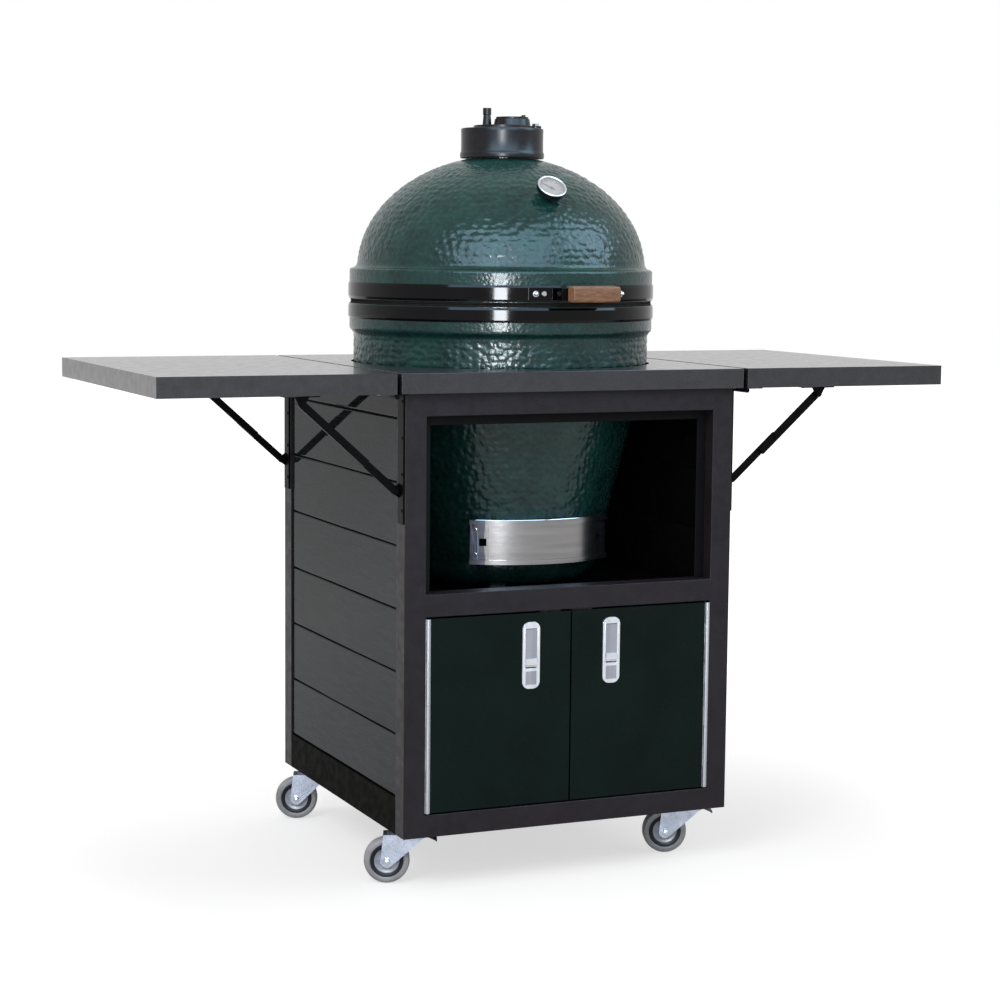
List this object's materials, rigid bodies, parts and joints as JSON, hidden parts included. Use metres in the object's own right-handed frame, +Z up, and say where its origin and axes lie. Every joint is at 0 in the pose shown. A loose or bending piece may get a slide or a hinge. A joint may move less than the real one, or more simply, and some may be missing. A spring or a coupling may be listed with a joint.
{
  "type": "grill cart",
  "caption": "Ceramic kettle grill set in a metal cart with fold-down side shelves, a two-door cupboard, swivel casters, an opening dome, vents and a sliding draft door.",
  "frame": {"origin": "on the floor under the middle of the whole object's bounding box", "axes": "+Z up, +X to the right seen from the front, -Y towards the front with the doors and the handle"},
  "size_m": [1.45, 0.701, 1.3203],
  "materials": {
    "frame_coat": "dark grey-brown hammered powder coat",
    "liner": "dark satin powder coat",
    "planks": "grey satin stain on planed boards",
    "table_coat": "grey fine-textured powder coat",
    "stainless": "brushed stainless steel",
    "black_steel": "gloss black paint",
    "zinc": "bright zinc plate",
    "glaze": "dark green glaze with fine dimples",
    "refractory": "unglazed buff fireclay",
    "felt": "pressed felt",
    "cast_iron": "satin black cast iron",
    "bolts": "chrome-plated bolts and nuts",
    "grip_wood": "pale hardwood, oiled",
    "dial": "printed pale dial",
    "lens": "clear glass",
    "needle": "black paint",
    "door_coat": "dark green-black satin paint",
    "wheel": "grey non-marking tread on a pale hub",
    "pedal": "black moulded plastic"
  },
  "bodies": {
    "cart": {"front_frame": "frame_coat", "rear_frame": "frame_coat", "side_rails": "frame_coat", "window_lip": "liner", "side_planks": "planks", "back_planks": "planks", "floor_panel": "liner", "grill_shelf": "liner", "centre_top": "table_coat", "door_hinges": "stainless", "shelf_hinges": "black_steel", "brace_rails": "black_steel", "caster_plates": "zinc", "grill_feet": "refractory", "base_shell": "glaze", "base_cup": "glaze", "base_floor": "glaze", "base_gasket": "felt", "base_band": "black_steel", "firebox": "refractory", "firebox_skirt": "refractory", "fire_ring": "refractory", "fire_grate": "cast_iron", "cooking_grid": "stainless", "draft_frame": "stainless"},
    "dome": {"dome_shell": "glaze", "dome_shoulder": "glaze", "dome_crown": "glaze", "dome_gasket": "felt", "dome_band": "black_steel", "band_bolts": "bolts", "handle_bracket": "black_steel", "handle_grip": "grip_wood", "thermometer_case": "stainless", "thermometer_dial": "dial", "thermometer_lens": "lens", "cap_ring": "cast_iron"},
    "vent": {"vent_plate": "cast_iron"},
    "daisy": {"daisy_wheel": "cast_iron"},
    "needle": {"thermometer_needle": "needle"},
    "draft_door": {"draft_door": "stainless"},
    "left_door": {"left_door": "door_coat"},
    "left_paddle": {"left_paddle": "stainless"},
    "left_shelf": {"left_shelf": "table_coat"},
    "left_pedal": {"left_pedal": "pedal"},
    "front_left_lower_link": {"front_left_lower_link": "black_steel"},
    "front_left_upper_link": {"front_left_upper_link": "black_steel"},
    "front_left_fork": {"front_left_fork": "zinc"},
    "front_left_wheel": {"front_left_wheel": "wheel"},
    "rear_left_lower_link": {"rear_left_lower_link": "black_steel"},
    "rear_left_upper_link": {"rear_left_upper_link": "black_steel"},
    "rear_left_fork": {"rear_left_fork": "zinc"},
    "rear_left_wheel": {"rear_left_wheel": "wheel"},
    "right_door": {"right_door": "door_coat"},
    "right_paddle": {"right_paddle": "stainless"},
    "right_shelf": {"right_shelf": "table_coat"},
    "right_pedal": {"right_pedal": "pedal"},
    "front_right_lower_link": {"front_right_lower_link": "black_steel"},
    "front_right_upper_link": {"front_right_upper_link": "black_steel"},
    "front_right_fork": {"front_right_fork": "zinc"},
    "front_right_wheel": {"front_right_wheel": "wheel"},
    "rear_right_lower_link": {"rear_right_lower_link": "black_steel"},
    "rear_right_upper_link": {"rear_right_upper_link": "black_steel"},
    "rear_right_fork": {"rear_right_fork": "zinc"},
    "rear_right_wheel": {"rear_right_wheel": "wheel"}
  },
  "joints": [
    {"name": "left_shelf_fold", "type": "hinge", "parent": "cart", "child": "left_shelf", "pos_m": [-0.325, 0, 0.8317], "axis": [0, -1, 0], "range_deg": [0, 90]},
    {"name": "front_left_lower_pivot", "type": "hinge", "parent": "cart", "child": "front_left_lower_link", "pos_m": [-0.316, -0.3215, 0.6757], "axis": [0, -1, 0], "range_deg": [0, 131.8]},
    {"name": "front_left_upper_pivot", "type": "hinge", "parent": "left_shelf", "child": "front_left_upper_link", "pos_m": [-0.481, -0.3215, 0.8227], "axis": [0, 1, 0], "range_deg": [0, 138.5]},
    {"name": "rear_left_lower_pivot", "type": "hinge", "parent": "cart", "child": "rear_left_lower_link", "pos_m": [-0.316, 0.2635, 0.6757], "axis": [0, -1, 0], "range_deg": [0, 131.8]},
    {"name": "rear_left_upper_pivot", "type": "hinge", "parent": "left_shelf", "child": "rear_left_upper_link", "pos_m": [-0.481, 0.2635, 0.8227], "axis": [0, 1, 0], "range_deg": [0, 138.5]},
    {"name": "right_shelf_fold", "type": "hinge", "parent": "cart", "child": "right_shelf", "pos_m": [0.325, 0, 0.8317], "axis": [0, 1, 0], "range_deg": [0, 90]},
    {"name": "front_right_lower_pivot", "type": "hinge", "parent": "cart", "child": "front_right_lower_link", "pos_m": [0.316, -0.3215, 0.6757], "axis": [0, 1, 0], "range_deg": [0, 131.8]},
    {"name": "front_right_upper_pivot", "type": "hinge", "parent": "right_shelf", "child": "front_right_upper_link", "pos_m": [0.481, -0.3215, 0.8227], "axis": [0, -1, 0], "range_deg": [0, 138.5]},
    {"name": "rear_right_lower_pivot", "type": "hinge", "parent": "cart", "child": "rear_right_lower_link", "pos_m": [0.316, 0.2635, 0.6757], "axis": [0, 1, 0], "range_deg": [0, 131.8]},
    {"name": "rear_right_upper_pivot", "type": "hinge", "parent": "right_shelf", "child": "rear_right_upper_link", "pos_m": [0.481, 0.2635, 0.8227], "axis": [0, -1, 0], "range_deg": [0, 138.5]},
    {"name": "left_door_swing", "type": "hinge", "parent": "cart", "child": "left_door", "pos_m": [-0.2625, -0.3355, 0.298], "axis": [0, 0, -1], "range_deg": [0, 110]},
    {"name": "left_paddle_pull", "type": "hinge", "parent": "left_door", "child": "left_paddle", "pos_m": [-0.0755, -0.3358, 0.4325], "axis": [-1, 0, 0], "range_deg": [0, 40], "stiffness_Nm_per_rad": 0.3, "springref_deg": -11.46},
    {"name": "right_door_swing", "type": "hinge", "parent": "cart", "child": "right_door", "pos_m": [0.2625, -0.3355, 0.298], "axis": [0, 0, 1], "range_deg": [0, 110]},
    {"name": "right_paddle_pull", "type": "hinge", "parent": "right_door", "child": "right_paddle", "pos_m": [0.0755, -0.3358, 0.4325], "axis": [-1, 0, 0], "range_deg": [0, 40], "stiffness_Nm_per_rad": 0.3, "springref_deg": -11.46},
    {"name": "dome_lift", "type": "hinge", "parent": "cart", "child": "dome", "pos_m": [0, 0.3305, 0.978], "axis": [-1, 0, 0], "range_deg": [0, 70]},
    {"name": "vent_swing", "type": "hinge", "parent": "dome", "child": "vent", "pos_m": [0.055, -0.0475, 1.287], "axis": [0, 0, 1], "range_deg": [0, 60]},
    {"name": "daisy_turn", "type": "hinge", "parent": "vent", "child": "daisy", "pos_m": [0.016, -0.0315, 1.303], "axis": [0, 0, 1], "continuous": true},
    {"name": "needle_turn", "type": "hinge", "parent": "dome", "child": "needle", "pos_m": [0, -0.23453, 1.17558], "axis": [0, 0.6863, -0.7273], "range_deg": [0, 250]},
    {"name": "draft_slide", "type": "hinge", "parent": "cart", "child": "draft_door", "pos_m": [0, -0.0245, 0.57], "axis": [0, 0, 1], "range_deg": [-35, 35]},
    {"name": "front_left_caster_swivel", "type": "hinge", "parent": "cart", "child": "front_left_fork", "pos_m": [-0.266, -0.2635, 0.0857], "axis": [0, 0, 1], "continuous": true},
    {"name": "front_left_wheel_spin", "type": "hinge", "parent": "front_left_fork", "child": "front_left_wheel", "pos_m": [-0.30148, -0.24988, 0.039], "axis": [0.3584, 0.9336, 0], "continuous": true},
    {"name": "left_brake_press", "type": "hinge", "parent": "front_left_fork", "child": "left_pedal", "pos_m": [-0.24359, -0.2721, 0.0832], "axis": [0.3584, 0.9336, 0], "range_deg": [0, 15]},
    {"name": "front_right_caster_swivel", "type": "hinge", "parent": "cart", "child": "front_right_fork", "pos_m": [0.266, -0.2635, 0.0857], "axis": [0, 0, 1], "continuous": true},
    {"name": "front_right_wheel_spin", "type": "hinge", "parent": "front_right_fork", "child": "front_right_wheel", "pos_m": [0.23052, -0.24988, 0.039], "axis": [0.3584, 0.9336, 0], "continuous": true},
    {"name": "right_brake_press", "type": "hinge", "parent": "front_right_fork", "child": "right_pedal", "pos_m": [0.28841, -0.2721, 0.0832], "axis": [0.3584, 0.9336, 0], "range_deg": [0, 15]},
    {"name": "rear_left_caster_swivel", "type": "hinge", "parent": "cart", "child": "rear_left_fork", "pos_m": [-0.266, 0.2105, 0.0857], "axis": [0, 0, 1], "continuous": true},
    {"name": "rear_left_wheel_spin", "type": "hinge", "parent": "rear_left_fork", "child": "rear_left_wheel", "pos_m": [-0.30148, 0.22412, 0.039], "axis": [0.3584, 0.9336, 0], "continuous": true},
    {"name": "rear_right_caster_swivel", "type": "hinge", "parent": "cart", "child": "rear_right_fork", "pos_m": [0.266, 0.2105, 0.0857], "axis": [0, 0, 1], "continuous": true},
    {"name": "rear_right_wheel_spin", "type": "hinge", "parent": "rear_right_fork", "child": "rear_right_wheel", "pos_m": [0.23052, 0.22412, 0.039], "axis": [0.3584, 0.9336, 0], "continuous": true}
  ],
  "couplings": [
    {"joint": "front_left_lower_pivot", "follows": "left_shelf_fold", "ratio": 1.4633},
    {"joint": "front_left_upper_pivot", "follows": "left_shelf_fold", "ratio": 1.5367},
    {"joint": "rear_left_lower_pivot", "follows": "left_shelf_fold", "ratio": 1.4633},
    {"joint": "rear_left_upper_pivot", "follows": "left_shelf_fold", "ratio": 1.5367},
    {"joint": "front_right_lower_pivot", "follows": "right_shelf_fold", "ratio": 1.4633},
    {"joint": "front_right_upper_pivot", "follows": "right_shelf_fold", "ratio": 1.5367},
    {"joint": "rear_right_lower_pivot", "follows": "right_shelf_fold", "ratio": 1.4633},
    {"joint": "rear_right_upper_pivot", "follows": "right_shelf_fold", "ratio": 1.5367}
  ]
}
